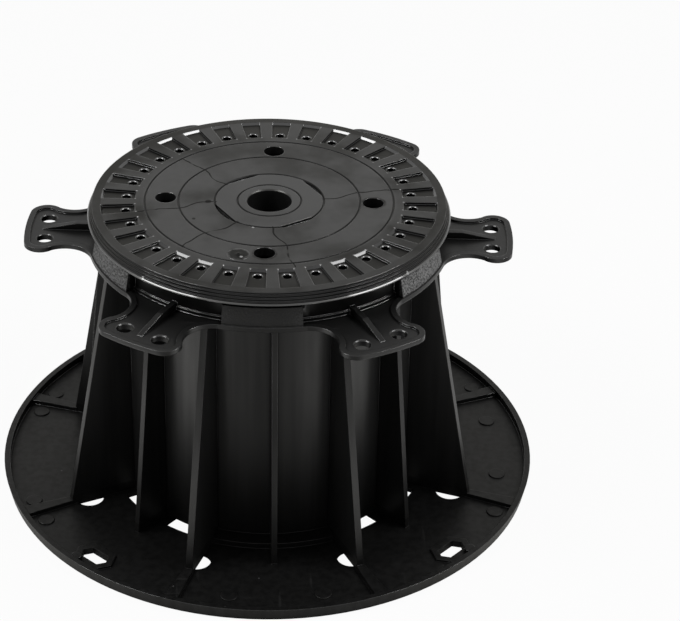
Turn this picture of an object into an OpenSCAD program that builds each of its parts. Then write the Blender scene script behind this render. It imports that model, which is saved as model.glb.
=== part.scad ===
// Adjustable decking pedestal: a ribbed base, a turning ring and a screw head.
// Millimetres. +Z is up, and the origin is the centre of the base's underside.

/* [Overall] */
// Height from the ground to the head's top, screwed right down
height = 132; // [115:1:170]
// Lift of the head between its lowest and its highest place
lift = 70; // [30:5:80]

/* [Base plate] */
// Outer diameter of the base plate at its rim
base_d = 236; // [226:2:300]
// Thickness of the base plate
plate_t = 2.2; // [2:0.2:4]
// Height of the raised rim from the ground
rim_h = 5.6; // [4.6:0.2:8]
// Width of the raised rim
rim_w = 2.5; // [2:0.5:4]
// Draft of the rim's outer side, measured across
rim_draft = 1.2; // [0:0.2:2]
// Diameter of the drain hole in the middle of the floor
drain_d = 40; // [20:2:80]

/* [Base column and ribs] */
// Wall of the column
column_t = 3; // [2:0.5:5]
// Thickness of a large rib
large_rib_t = 3; // [2:0.2:4]
// Reach of a large rib from the column, at the plate
large_rib_foot = 29.4; // [22:0.2:34]
// Height of the upright heel at a large rib's foot
large_rib_heel = 1.8; // [0.8:0.2:4]
// Reach of a large rib from the column, at its top
large_rib_top = 9.2; // [5:0.2:11]
// Thickness of a small rib
small_rib_t = 2.4; // [1.6:0.2:3.2]
// Reach of a small rib from the column, at the plate
small_rib_foot = 17.5; // [12:0.5:22]
// Height of the upright heel at a small rib's foot
small_rib_heel = 0.4; // [0.2:0.2:4]
// Reach of a small rib from the column, at its top
small_rib_top = 7; // [4:0.5:10]
// Drop from the top of the column to the top of the ribs
rib_drop = 1.2; // [0.6:0.2:4]
// Width of the low bar where it runs on from a large rib
bar_w = 3.4; // [3.2:0.2:5]
// Width of the low bar at the rim
bar_end_w = 6; // [5.2:0.2:9]
// Height of the low bar above the plate
bar_h = 2; // [0.4:0.1:2.4]
// Width of the raised ledge round the column's foot
ledge_w = 7; // [4:0.5:10]
// Height of the ledge above the plate
ledge_h = 2.6; // [0.8:0.2:4]

/* [Base openings] */
// Radial width of the drain slots beside the column
slot_w = 5; // [3:0.1:7]
// Reach of the drain slots under the column's wall
slot_under = 2.4; // [0.2:0.1:2.4]
// Half the angle that a drain slot covers
slot_half_angle = 7.6; // [4:0.2:9]
// Diameter of the half-round holes beside the large ribs
foot_hole_d = 12.2; // [6:0.2:14]
// Distance of the half-round holes' middles from the column
foot_hole_reach = 20.7; // [16:0.1:22]
// Length of the six-sided fixing holes, along the rim
fixing_l = 13.4; // [10:0.2:16]
// Width of the six-sided fixing holes, across the rim
fixing_w = 7; // [5:0.2:8]
// Distance of the fixing holes' middles from the rim
fixing_in = 8.3; // [7.5:0.1:10]
// Width of the raised frame round a fixing hole
fixing_wall = 3.2; // [2:0.2:4]
// Height of that frame above the plate
fixing_frame_h = 0.9; // [0.4:0.1:2]
// Diameter of the round post between a fixing hole and the rim
lug_d = 4.6; // [3:0.2:6]
// Distance of that post's middle from the rim
lug_in = 1.6; // [1:0.1:2]
// Distance of that post from the hole's middle, along the rim
lug_side = 4; // [2:0.2:8]
// Drop from the rim's top to the post's top
lug_drop = 0.4; // [0.2:0.1:1]

/* [Turning ring] */
// Angle at which the ring stands in its place
ring_turn = -4; // [-30:0.1:30]
// Thickness of the ring's plate and ears
ring_plate_t = 2; // [1.8:0.1:4]
// Width of the raised border round the ring and its ears
border_w = 2.4; // [1.2:0.2:3]
// Depth of the ears' floor below that border
border_h = 0.8; // [0.4:0.1:1.1]
// Width of the lip outside the band
lip_w = 2.2; // [1.8:0.1:4]
// Height of the band between the ears
band_h = 8.1; // [5:0.1:14]
// Thickness of the band at its top
band_t = 3.5; // [2:0.5:4]
// Lean of the band, from its top out to its foot
band_lean = 1.6; // [0.4:0.1:1.7]
// Half the angle that each stretch of band covers
band_half_angle = 12.4; // [8:0.2:16]
// Gap from the band up to the head's rim
rim_gap = 2; // [0.6:0.1:3]
// Wall of the collar behind the band
collar_t = 3; // [2:0.5:4]
// Wall of the threaded sleeve
sleeve_t = 5.4; // [4:0.2:7]
// Length of the sleeve inside the column
pilot_l = 14; // [8:1:24]

/* [Ears] */
// Reach of an ear beyond the lip
ear_reach = 26.6; // [24:0.2:32]
// Width of an ear across its outer corners
ear_w = 37.4; // [34:0.2:38.6]
// Width of an ear at its neck
neck_w = 29.8; // [29:0.2:33]
// Radius of the hollow curve from lip to ear
ear_hollow_r = 12; // [10:0.5:13]
// Radius of an ear's outer corners
ear_corner_r = 7; // [5:0.5:7.5]
// Diameter of the ear holes
ear_hole_d = 7.4; // [4:0.2:9]
// Distance of the ear holes from the ear's end
ear_hole_edge = 9.1; // [8:0.1:11]
// Spacing of the two holes in an ear
ear_hole_gap = 16.7; // [14:0.1:18]
// Wall of the boss round a hole, under the ear
boss_wall = 1.6; // [1:0.2:2.4]
// Height of that boss below the ear
boss_h = 1.8; // [0.6:0.2:4]
// Thickness of the gusset on an ear
gusset_t = 2.4; // [1.6:0.2:4]
// Height of the gusset's level top above the ear's floor
gusset_h = 3.2; // [2:0.2:6]
// Reach of that level top beyond the lip
gusset_level = 5; // [0.5:0.5:10]

/* [Head] */
// Angle at which the head stands in its place
head_turn = -4.5; // [-45:0.1:45]
// Outer diameter of the head
head_d = 152.8; // [146:0.2:166]
// Thickness of the head's disc
disc_t = 4; // [3:0.5:4.5]
// Drop of the head's rim below the top
rim_drop = 5.2; // [4.8:0.1:9]
// Number of tiers in the rim, each a little wider than the one above
rim_tiers = 4; // [2:1:5]
// Flare of the rim from its top tier to its lowest
rim_flare = 1.4; // [0.6:0.1:2]
// Wall of the head's rim
rim_wall = 3; // [2:0.5:4]
// Diameter of the hole in the middle
socket_d = 18.8; // [12:0.2:22]
// Diameter of the collar round the middle hole
hub_d = 27; // [25:0.5:32]
// Length of the middle hole
socket_l = 14; // [8:1:24]
// Diameter of the circle of the four large holes
large_hole_circle = 88; // [84:0.5:91]
// Diameter of the four large holes
large_hole_d = 9; // [5:0.5:10]

/* [Pockets] */
// Number of pockets round the head
pocket_count = 32; // [16:4:36]
// Turn of the ring of pockets from the large holes
pocket_turn = -1.8; // [-5:0.1:5]
// Land from the pockets to the head's edge
pocket_land = 5; // [4:0.1:6]
// Length of a pocket along the radius
pocket_l = 14.6; // [10:0.2:15]
// Depth of a pocket
pocket_depth = 1; // [0.6:0.1:1.6]
// Angle that a pocket covers
pocket_angle = 6.7; // [4:0.1:8]
// Diameter of the screw hole in a pocket
pocket_hole_d = 4.4; // [2.5:0.1:5]
// Distance of that hole from the pocket's inner end
pocket_hole_in = 4; // [3.6:0.1:6]

/* [Face marks] */
// Diameter of the inner groove
inner_groove_d = 46.2; // [40:0.2:52]
// Diameter of the middle groove
middle_groove_d = 77; // [70:0.5:78]
// Diameter of the outer groove
outer_groove_d = 105.4; // [100:0.2:107]
// Width of the grooves at the face
groove_w = 0.9; // [0.5:0.1:1.4]
// Depth of the grooves
groove_h = 0.6; // [0.3:0.1:1]
// Height of the four segment notches, from groove to chord
notch_h = 1.9; // [1:0.1:3]
// Depth of the segment notches
notch_depth = 1.2; // [0.4:0.1:2]

/* [Stem and thread] */
// Diameter of the stem below its thread
stem_d = 107; // [102:0.5:110]
// Wall of the stem
stem_t = 3.5; // [2.5:0.5:4]
// Height of the thread on the stem
thread_h = 2; // [1:0.1:2.5]
// Clearance over the thread's crest
thread_clear = 0.5; // [0.2:0.1:1]
// Length of stem below the sleeve when the head is fully raised
stem_spare = 2; // [1:1:8]
// Webs between the hub and the stem, under the disc
web_count = 8; // [0:4:8]
// Thickness of a web
web_t = 2; // [1.5:0.5:3]

/* [Clearances] */
// Ring above the column's top edge
turn_clear = 0.1; // [0.1:0.1:0.5]
// Sleeve in the column, on the radius
pilot_clear = 0.6; // [0.3:0.1:1.2]
// Head above the sleeve when it is screwed right down
seat_clear = 0.2; // [0.1:0.1:0.6]

/* [Hidden] */
$fn = 96;

black = [0.10, 0.10, 0.10];
dark = [0.14, 0.14, 0.14];
grey = [0.20, 0.20, 0.20];

// Overlap that lets a cut or a joined piece pass a face
over = 0.5;
ear_count = 6;
ear_pitch = 360 / ear_count;
rib_pairs = 8;
rib_pitch = 360 / rib_pairs;
quarter = 90;

// Radii, from the stem outwards
stem_r = stem_d / 2;
bore_r = stem_r + thread_h + thread_clear;
sleeve_r = bore_r + sleeve_t;
column_in = sleeve_r + pilot_clear;
column_r = column_in + column_t;
head_r = head_d / 2;
// The band stands just inside the head's rim
band_inset = 1.2;
band_r = head_r - band_inset;
collar_r = band_r - band_t;
lip_r = band_r + lip_w;
base_r = base_d / 2;
rim_in = base_r - rim_w;
fixing_r = rim_in - fixing_in;
slot_in = column_r - slot_under;
slot_out = column_r + over + slot_w;

// Heights, from the top down
disc_under = height - disc_t;
rim_under = height - rim_drop;
sleeve_top = disc_under - seat_clear;
band_top = rim_under - rim_gap;
ring_top = band_top - band_h;
ring_under = ring_top - ring_plate_t;
column_top = ring_under - turn_clear;
sleeve_under = ring_under - pilot_l;
stem_under = sleeve_under - lift - stem_spare;
ear_floor = ring_top - border_h;

// A copy at each multiple of a pitch, from a first angle
module around(count, pitch, first = 0) {
    for (i = [0 : count - 1])
        rotate(first + i * pitch) children();
}

// A tube between two radii and two heights
module tube(inner, outer, low, high) {
    rotate_extrude()
        translate([inner, low]) square([outer - inner, high - low]);
}

// A stretch of tube, centred on the X axis
module arc_wall(inner, outer, low, high, half_angle) {
    rotate(-half_angle)
        rotate_extrude(angle = 2 * half_angle)
            translate([inner, low]) square([outer - inner, high - low]);
}

// An upright web in the XZ plane, centred on it
module web(thickness, outline) {
    translate([0, thickness / 2, 0])
        rotate([90, 0, 0])
            linear_extrude(thickness) polygon(outline);
}

// BASE

// The plate with its raised rim, as one turned section
module base_plate() {
    rotate_extrude()
        polygon([
            [drain_d / 2, 0],
            [base_r - rim_draft, 0],
            [base_r, rim_h],
            [rim_in, rim_h],
            [rim_in, plate_t],
            [drain_d / 2, plate_t],
        ]);
}

// A rib that leans on the column, from its foot to its top.
// The foot is rooted in the plate, upright as far as its heel.
module rib(thickness, foot, top, heel) {
    inside = column_in + column_t / 2;
    root = plate_t - plate_t / 4;
    rib_top = column_top - rib_drop;
    web(thickness, [
        [inside, root],
        [column_r + foot, root],
        [column_r + foot, plate_t + heel],
        [column_r + top, rib_top],
        [inside, rib_top],
    ]);
}

// The low bar from a large rib's foot to the rim, wider as it nears the rim
module foot_bar() {
    start = column_r + large_rib_foot - over;
    end = rim_in + rim_w / 4;
    translate([0, 0, plate_t - over])
        linear_extrude(bar_h + over)
            polygon([
                [start, -bar_w / 2],
                [end, -bar_end_w / 2],
                [end, bar_end_w / 2],
                [start, bar_w / 2],
            ]);
}

// A half-round hole through the plate on one side of a rib, with its straight side under the rib
module foot_hole(side) {
    translate([column_r + foot_hole_reach, 0, -over])
        linear_extrude(plate_t + 2 * over)
            intersection() {
                circle(d = foot_hole_d);
                translate([0, side * foot_hole_d / 2]) square([2 * foot_hole_d, foot_hole_d], center = true);
            }
}

// A six-sided outline, long across the radius
module fixing_outline(length, width) {
    half_l = length / 2;
    half_w = width / 2;
    shoulder = half_l - half_w / tan(60);
    polygon([
        [0, half_l], [-half_w, shoulder], [-half_w, -shoulder],
        [0, -half_l], [half_w, -shoulder], [half_w, shoulder],
    ]);
}

// Each fixing hole lies in a low frame, with a round post to one side of it on the rim
module fixing_frame(side) {
    post_x = fixing_in - lug_in;
    post_h = rim_h - lug_drop;
    neck = lug_d * 0.8;
    linear_extrude(plate_t + fixing_frame_h)
        fixing_outline(fixing_l + 2 * fixing_wall, fixing_w + 2 * fixing_wall);
    translate([post_x, side * lug_side, 0]) {
        cylinder(d = lug_d, h = post_h);
        translate([0, -neck / 2, 0]) cube([lug_in + rim_w / 4, neck, post_h]);
    }
}

module base_solid() {
    difference() {
        base_plate();
        // Half-round holes beside the large ribs, on the side that faces the Y axis
        for (i = [0 : rib_pairs - 1])
            rotate(rib_pitch / 2 + i * rib_pitch)
                foot_hole(floor(i / 2) % 2 == 0 ? 1 : -1);
    }
    tube(column_in, column_r, 0, column_top);
    around(rib_pairs, rib_pitch, rib_pitch / 2) {
        rib(large_rib_t, large_rib_foot, large_rib_top, large_rib_heel);
        foot_bar();
    }
    around(rib_pairs, rib_pitch)
        rib(small_rib_t, small_rib_foot, small_rib_top, small_rib_heel);
    // The ledge lies in the bays that have no drain slots
    around(4, quarter)
        arc_wall(column_r - over, column_r + ledge_w, plate_t - over, plate_t + ledge_h, rib_pitch / 2);
    // The posts stand on the side that faces the X axis
    for (i = [0 : 3])
        rotate(quarter / 2 + i * quarter)
            translate([fixing_r, 0, 0]) fixing_frame(i % 2 == 0 ? -1 : 1);
}

module base() {
    // Angle from a diagonal small rib to the middle of a bay
    half_bay = rib_pitch / 4;
    color(black)
        difference() {
            base_solid();
            around(4, quarter, quarter / 2) {
                for (side = [-1, 1])
                    rotate(side * half_bay)
                        arc_wall(slot_in, slot_out, -over, plate_t + over, slot_half_angle);
                translate([fixing_r, 0, -over])
                    linear_extrude(rim_h + 2 * over) fixing_outline(fixing_l, fixing_w);
            }
        }
}

// TURNING RING

// Outline of lip and ears, drawn in by an inset.
// Each side of an ear is a hollow arc from the lip, a straight flank and a round corner.
// The end is an arc about the ring's axis, and neighbouring stretches cross by a small bite.
module ring_outline(inset) {
    bite = 0.1;
    tip = lip_r + ear_reach;
    hollow_y = neck_w / 2 + ear_hollow_r;
    hollow_x = sqrt(pow(lip_r + ear_hollow_r - bite, 2) - pow(hollow_y, 2));
    corner_y = ear_w / 2 - ear_corner_r;
    corner_x = sqrt(pow(tip - ear_corner_r, 2) - pow(corner_y, 2));
    // Direction square to the flank, which runs between the hollow and the corner
    span = [corner_x - hollow_x, corner_y - hollow_y];
    lean = atan2(span[1], span[0]) - acos((ear_hollow_r + ear_corner_r - 2 * bite) / norm(span));
    square_on = [cos(lean), sin(lean)];
    flank_in = [hollow_x, hollow_y] + (ear_hollow_r + inset - bite) * square_on;
    flank_out = [corner_x, corner_y] - (ear_corner_r - inset - bite) * square_on;
    circle(lip_r - inset);
    around(ear_count, ear_pitch) {
        difference() {
            polygon([
                [0, 0],
                [hollow_x, -hollow_y],
                [flank_in[0], -flank_in[1]],
                [flank_out[0], -flank_out[1]],
                [corner_x, -corner_y],
                [corner_x, corner_y],
                flank_out,
                flank_in,
                [hollow_x, hollow_y],
            ]);
            for (side = [-1, 1])
                translate([hollow_x, side * hollow_y]) circle(ear_hollow_r + inset);
        }
        intersection() {
            circle(tip - inset);
            polygon([[0, 0], 2 * [corner_x, -corner_y], 2 * [corner_x, corner_y]]);
        }
        for (side = [-1, 1])
            translate([corner_x, side * corner_y]) circle(ear_corner_r - inset);
    }
}

// The gusset on an ear, level from the collar and then down to the floor between the holes
module gusset() {
    root = collar_r - over;
    end = lip_r + ear_reach - ear_hole_edge + ear_hole_d / 4;
    web(gusset_t, [
        [root, ear_floor - over],
        [end, ear_floor - over],
        [end, ear_floor + border_h / 4],
        [lip_r + gusset_level, ear_floor + gusset_h],
        [root, ear_floor + gusset_h],
    ]);
}

// A stretch of the band between two ears, leaning in from its foot
module band() {
    heel = 0.3;
    rotate(-band_half_angle)
        rotate_extrude(angle = 2 * band_half_angle)
            polygon([
                [collar_r - over, ear_floor - over],
                [band_r + band_lean, ear_floor - over],
                [band_r + band_lean, ring_top + heel],
                [band_r, band_top],
                [collar_r - over, band_top],
            ]);
}

module turning_ring() {
    hole_r = lip_r + ear_reach - ear_hole_edge;
    // Low step at the collar's foot, seen at the root of each ear
    step = 0.8;
    color(dark)
        rotate(ring_turn)
            difference() {
                union() {
                    difference() {
                        translate([0, 0, ring_under])
                            linear_extrude(ring_plate_t) ring_outline(0);
                        translate([0, 0, ear_floor])
                            linear_extrude(border_h + over) ring_outline(border_w);
                    }
                    tube(bore_r, sleeve_r, sleeve_under, sleeve_top);
                    tube(collar_r - collar_t, collar_r, ear_floor - over, band_top);
                    tube(collar_r - over, collar_r + step, ear_floor - over, ring_top + step);
                    around(ear_count, ear_pitch) {
                        gusset();
                        for (side = [-1, 1])
                            translate([hole_r, side * ear_hole_gap / 2, ring_under - boss_h])
                                cylinder(d = ear_hole_d + 2 * boss_wall, h = boss_h + over);
                    }
                    around(ear_count, ear_pitch, ear_pitch / 2) band();
                }
                translate([0, 0, sleeve_under - over])
                    cylinder(r = bore_r, h = sleeve_top - sleeve_under + 2 * over);
                around(ear_count, ear_pitch)
                    for (side = [-1, 1])
                        translate([hole_r, side * ear_hole_gap / 2, ring_under - boss_h - over])
                            cylinder(d = ear_hole_d, h = ring_plate_t + boss_h + 2 * over);
            }
}

// HEAD

// The disc and its tiered rim, as one turned section.
// A small nick runs below each tier.
module disc() {
    nick = 0.45;
    tier = rim_drop / rim_tiers;
    last = rim_tiers - 1;
    rim = [
        for (i = [0 : last])
            let (r = head_r - rim_flare * (last - i) / last, low = height - (i + 1) * tier)
                each [[r, low + tier], [r, low + nick], [r - nick / 2, low + nick / 2]]
    ];
    rotate_extrude()
        polygon([
            [socket_d / 2, disc_under],
            [socket_d / 2, height],
            each rim,
            [head_r - rim_wall, rim_under],
            [head_r - rim_wall, disc_under],
        ]);
}

// A groove of V section in the head's face
module face_groove(diameter) {
    rotate_extrude()
        translate([diameter / 2, height])
            polygon([
                [-groove_w / 2, 0],
                [0, -groove_h],
                [groove_w / 2, 0],
                [groove_w / 2, over],
                [-groove_w / 2, over],
            ]);
}

// One pocket with sloping ends, and its screw hole
module pocket() {
    outer = head_r - pocket_land;
    inner = outer - pocket_l;
    floor_z = height - pocket_depth;
    rotate(-pocket_angle / 2)
        rotate_extrude(angle = pocket_angle)
            polygon([
                [inner + pocket_depth, floor_z],
                [outer - pocket_depth, floor_z],
                [outer, height],
                [outer, height + over],
                [inner, height + over],
                [inner, height],
            ]);
    translate([inner + pocket_hole_in, 0, disc_under - over])
        cylinder(d = pocket_hole_d, h = disc_t + 2 * over);
}

// A segment cut between the inner groove and a chord
module segment_notch() {
    groove_r = inner_groove_d / 2;
    translate([0, 0, height - notch_depth])
        linear_extrude(notch_depth + over)
            intersection() {
                circle(groove_r);
                translate([groove_r - notch_h, -groove_r]) square([2 * notch_h, 2 * groove_r]);
            }
}

module head() {
    // Turn of the segment notches from the large holes
    notch_turn = 33.8;
    chamfer = 0.5;
    web_h = socket_l - disc_t - chamfer;
    color(grey)
        rotate(head_turn)
            difference() {
                union() {
                    disc();
                    tube(stem_r - stem_t, stem_r, stem_under, disc_under + over);
                    tube(socket_d / 2, hub_d / 2, height - socket_l, disc_under + over);
                    if (web_count > 0)
                        around(web_count, 360 / web_count, 180 / web_count)
                            translate([hub_d / 2 - over, -web_t / 2, disc_under - web_h])
                                cube([stem_r - stem_t - hub_d / 2 + 2 * over, web_t, web_h + over]);
                }
                // Lead-in round the middle hole, and the line round its collar
                translate([0, 0, height - chamfer])
                    cylinder(r1 = socket_d / 2, r2 = socket_d / 2 + chamfer + over, h = chamfer + over);
                for (diameter = [hub_d, inner_groove_d, middle_groove_d, outer_groove_d])
                    face_groove(diameter);
                around(4, quarter)
                    translate([large_hole_circle / 2, 0, disc_under - over])
                        cylinder(d = large_hole_d, h = disc_t + 2 * over);
                around(4, quarter, notch_turn) segment_notch();
                around(pocket_count, 360 / pocket_count, pocket_turn) pocket();
            }
}

base();
turning_ring();
head();
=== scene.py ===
"""Looks of an adjustable decking pedestal: finishes, moulded details, studio and camera.

Metres. +Z is up along the screw axis, and the origin is the centre of the base's underside.
"""
import logging
import math
from dataclasses import dataclass, replace
from enum import Enum
from typing import Any, Dict, List, Sequence, Tuple, Union

import bmesh
import bpy
import numpy as np
from mathutils import Matrix, Vector


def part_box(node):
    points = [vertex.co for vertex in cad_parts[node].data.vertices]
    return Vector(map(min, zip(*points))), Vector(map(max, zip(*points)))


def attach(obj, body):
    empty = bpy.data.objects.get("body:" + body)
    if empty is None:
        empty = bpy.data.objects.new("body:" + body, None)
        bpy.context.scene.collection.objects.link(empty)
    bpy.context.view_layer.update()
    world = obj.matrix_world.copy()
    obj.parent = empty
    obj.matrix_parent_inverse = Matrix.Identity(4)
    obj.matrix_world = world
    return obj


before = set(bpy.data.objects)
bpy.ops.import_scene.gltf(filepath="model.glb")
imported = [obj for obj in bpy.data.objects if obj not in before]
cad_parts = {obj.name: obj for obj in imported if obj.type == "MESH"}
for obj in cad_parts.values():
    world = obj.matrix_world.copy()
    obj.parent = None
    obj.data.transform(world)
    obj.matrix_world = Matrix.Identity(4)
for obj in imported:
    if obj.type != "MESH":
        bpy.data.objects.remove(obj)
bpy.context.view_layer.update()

LOG = logging.getLogger("pedestal")
MM = 0.001
# The screw thread of the stem and the ring, and how far the ears lie below the head's face
THREAD_HEIGHT = 1.9 * MM
THREAD_PITCH = 8.0 * MM
EAR_DROP = 16.1 * MM
# Numbers of the colour sockets on a mix node
MIX_DEEP, MIX_PALE, MIX_RESULT = 6, 7, 2

Socket = bpy.types.NodeSocket
Value = Union[float, Socket, Sequence[float]]
Colour = Tuple[float, float, float, float]


class Body(Enum):
    """Bodies of the frame that a piece can ride on."""

    BASE = "base"
    RING = "turning_ring"
    HEAD = "head"


class Slot(Enum):
    """Material slots of the record."""

    BASE = "base_plastic"
    RING = "ring_plastic"
    HEAD = "head_plastic"


class Thread(Enum):
    """Side of a wall on which a screw thread stands."""

    OUTSIDE = 1
    INSIDE = -1


def grey(level: float) -> Colour:
    """Return a neutral colour of one linear level."""
    return (level, level, level, 1.0)


def polar(radius: float, degrees: float) -> Tuple[float, float]:
    """Return the flat place at a radius and an angle from +X."""
    turn = math.radians(degrees)
    return (radius * math.cos(turn), radius * math.sin(turn))


# Meshes


def grid_quads(rows: int, columns: int, closed: bool = False) -> np.ndarray:
    """Quads of a grid whose columns close on themselves.

    Point (i, j) has the number i * columns + j, and each quad joins it to (i + 1, j + 1).

    Args:
        rows: Points along the first direction.
        columns: Points round the second direction, which closes.
        closed: Whether the first direction closes as well.

    Returns:
        Array of corner numbers, one row per quad.
    """
    number = np.arange(rows * columns).reshape(rows, columns)
    if closed:
        number = np.concatenate([number, number[:1]])
    after = np.roll(number, -1, axis=1)
    corners = [number[:-1], after[:-1], after[1:], number[1:]]
    return np.stack(corners, axis=-1).reshape(-1, 4)


def solid_object(name: str, points: np.ndarray, faces: Sequence[Sequence[int]]) -> bpy.types.Object:
    """Make a closed mesh object with its faces turned outwards.

    Args:
        name: Name of the piece.
        points: Array of places, one row each.
        faces: Corner numbers of each face.

    Returns:
        The new object, linked to the scene at the origin.
    """
    mesh = bpy.data.meshes.new(name)
    mesh.from_pydata(points.tolist(), [], faces)
    shape = bmesh.new()
    shape.from_mesh(mesh)
    bmesh.ops.recalc_face_normals(shape, faces=shape.faces)
    shape.to_mesh(mesh)
    shape.free()
    piece = bpy.data.objects.new(name, mesh)
    bpy.context.scene.collection.objects.link(piece)
    return piece


def smooth(piece: bpy.types.Object) -> None:
    """Shade every face of a piece smoothly."""
    flags = np.ones(len(piece.data.polygons), dtype=bool)
    piece.data.polygons.foreach_set("use_smooth", flags)


def turned(radius: np.ndarray, height: np.ndarray, turn: np.ndarray) -> np.ndarray:
    """Return radii s and heights h turned to angles t about an upright axis: (s cos t, s sin t, h)."""
    return np.stack([radius * np.cos(turn), radius * np.sin(turn), height + 0 * turn], axis=-1)


def helix_ridge(name: str, wall: float, low: float, high: float, side: Thread,
                shift: float) -> bpy.types.Object:
    """Make the ridge of a right-hand screw thread on a round wall.

    A trapezium is carried along the helix z = pitch * (t / 2 pi - shift). Its foot is sunk into the wall and
    its crest fades to nothing over the first and the last third of a turn.

    Args:
        name: Name of the piece.
        wall: Radius of the wall that carries the thread.
        low: Height of the thread's start.
        high: Height of the thread's end.
        side: Side of the wall that the thread stands on.
        shift: Share of a turn by which the helix is ahead.

    Returns:
        The closed mesh object.
    """
    per_turn, fade, sink = 120, 1 / 3, 0.3 * MM
    foot, crest = 0.42 * THREAD_PITCH, 0.14 * THREAD_PITCH
    turns = (high - low) / THREAD_PITCH
    count = int(turns * per_turn)
    along = np.linspace(0.0, turns, count)
    edge = np.clip(np.minimum(along, turns - along) / fade, 0.0, 1.0)
    grow = THREAD_HEIGHT * edge * edge * (3.0 - 2.0 * edge)
    out = np.stack([-sink + 0 * grow, grow, grow, -sink + 0 * grow], axis=1)
    up = np.array([-foot, -crest, crest, foot]) / 2
    turn = 2 * math.pi * (low / THREAD_PITCH + shift + along[:, None])
    height = low + THREAD_PITCH * along[:, None] + up
    points = turned(wall + side.value * out, height, turn).reshape(-1, 3)
    quads = grid_quads(count, 4).tolist()
    caps = [[0, 1, 2, 3], [4 * count - 1, 4 * count - 2, 4 * count - 3, 4 * count - 4]]
    return solid_object(name, points, quads + caps)


def studs(name: str, profile: Sequence[Tuple[float, float]], places: Sequence[Tuple[float, float, float]],
          around: int) -> bpy.types.Object:
    """Make several equal turned studs as one piece.

    The profile runs from the axis at the top to the axis at the bottom, and each stud is
    place + (s cos t, s sin t, h) for the profile's radius s and height h.

    Args:
        name: Name of the piece.
        profile: Radius and height of each point, without the two points on the axis.
        places: Middle of each stud.
        around: Points round a stud.

    Returns:
        The mesh object, with one closed shell for each stud.
    """
    section = np.array(profile)
    rows = len(section)
    turn = np.linspace(0.0, 2 * math.pi, around, endpoint=False)
    rings = turned(section[:, :1], section[:, 1:], turn).reshape(-1, 3)
    poles = np.array([[0.0, 0.0, section[0, 1]], [0.0, 0.0, section[-1, 1]]])
    shell = np.concatenate([rings, poles])
    first = np.arange(around)
    after = np.roll(first, -1)
    last = first + (rows - 1) * around
    top = np.stack([first, after, 0 * first + rows * around], axis=-1)
    bottom = np.stack([last, np.roll(last, -1), 0 * last + rows * around + 1], axis=-1)
    shift = np.arange(len(places))[:, None, None] * len(shell)
    points = (np.array(places)[:, None, :] + shell[None]).reshape(-1, 3)
    quads = (grid_quads(rows, around)[None] + shift).reshape(-1, 4).tolist()
    fans = (np.concatenate([top, bottom])[None] + shift).reshape(-1, 3).tolist()
    return solid_object(name, points, quads + fans)


def hoops(name: str, section: Sequence[Tuple[float, float]], places: Sequence[Tuple[float, float, float]],
          around: int) -> bpy.types.Object:
    """Make several equal level hoops as one piece.

    A closed section is turned about an upright axis at each place, so a point is
    place + (s cos t, s sin t, h) for the section's radius s and height h.

    Args:
        name: Name of the piece.
        section: Radius and height of each corner of the section.
        places: Middle of each hoop.
        around: Points round a hoop.

    Returns:
        The mesh object, with one closed shell for each hoop.
    """
    profile = np.array(section)
    turn = np.linspace(0.0, 2 * math.pi, around, endpoint=False)[:, None]
    hoop = turned(profile[:, 0], profile[:, 1], turn).reshape(1, -1, 3)
    points = (np.array(places)[:, None, :] + hoop).reshape(-1, 3)
    shift = np.arange(len(places))[:, None, None] * around * len(profile)
    quads = (grid_quads(around, len(profile), closed=True)[None] + shift).reshape(-1, 4)
    return solid_object(name, points, quads.tolist())


def lip_section(hole: float, width: float) -> List[Tuple[float, float]]:
    """Return the section of a sloped lip inside the mouth of a hole.

    Args:
        hole: Radius of the hole.
        width: Width and drop of the lip.

    Returns:
        Radius and height of each corner, with heights from the mouth.
    """
    sink = 0.05 * MM
    inner, outer = hole - width, hole + sink
    return [(outer, sink), (inner, -width), (inner, -width - sink), (outer, -2 * width)]


def dress(node: str, finish: bpy.types.Material) -> None:
    """Give a node of the frame its finish.

    Args:
        node: Name of the node.
        finish: Its material.
    """
    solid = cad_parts[node]
    solid.data.materials.clear()
    solid.data.materials.append(finish)
    LOG.info("node %s dressed with %s", node, finish.name)


def put_on(piece: bpy.types.Object, body: Body, finish: bpy.types.Material) -> None:
    """Let a piece ride on a body and give it a finish.

    Args:
        piece: The piece.
        body: Body that carries it.
        finish: Its material.
    """
    piece.data.materials.append(finish)
    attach(piece, body.value)
    LOG.info("piece %s on %s", piece.name, body.value)


# Shader nodes


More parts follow.
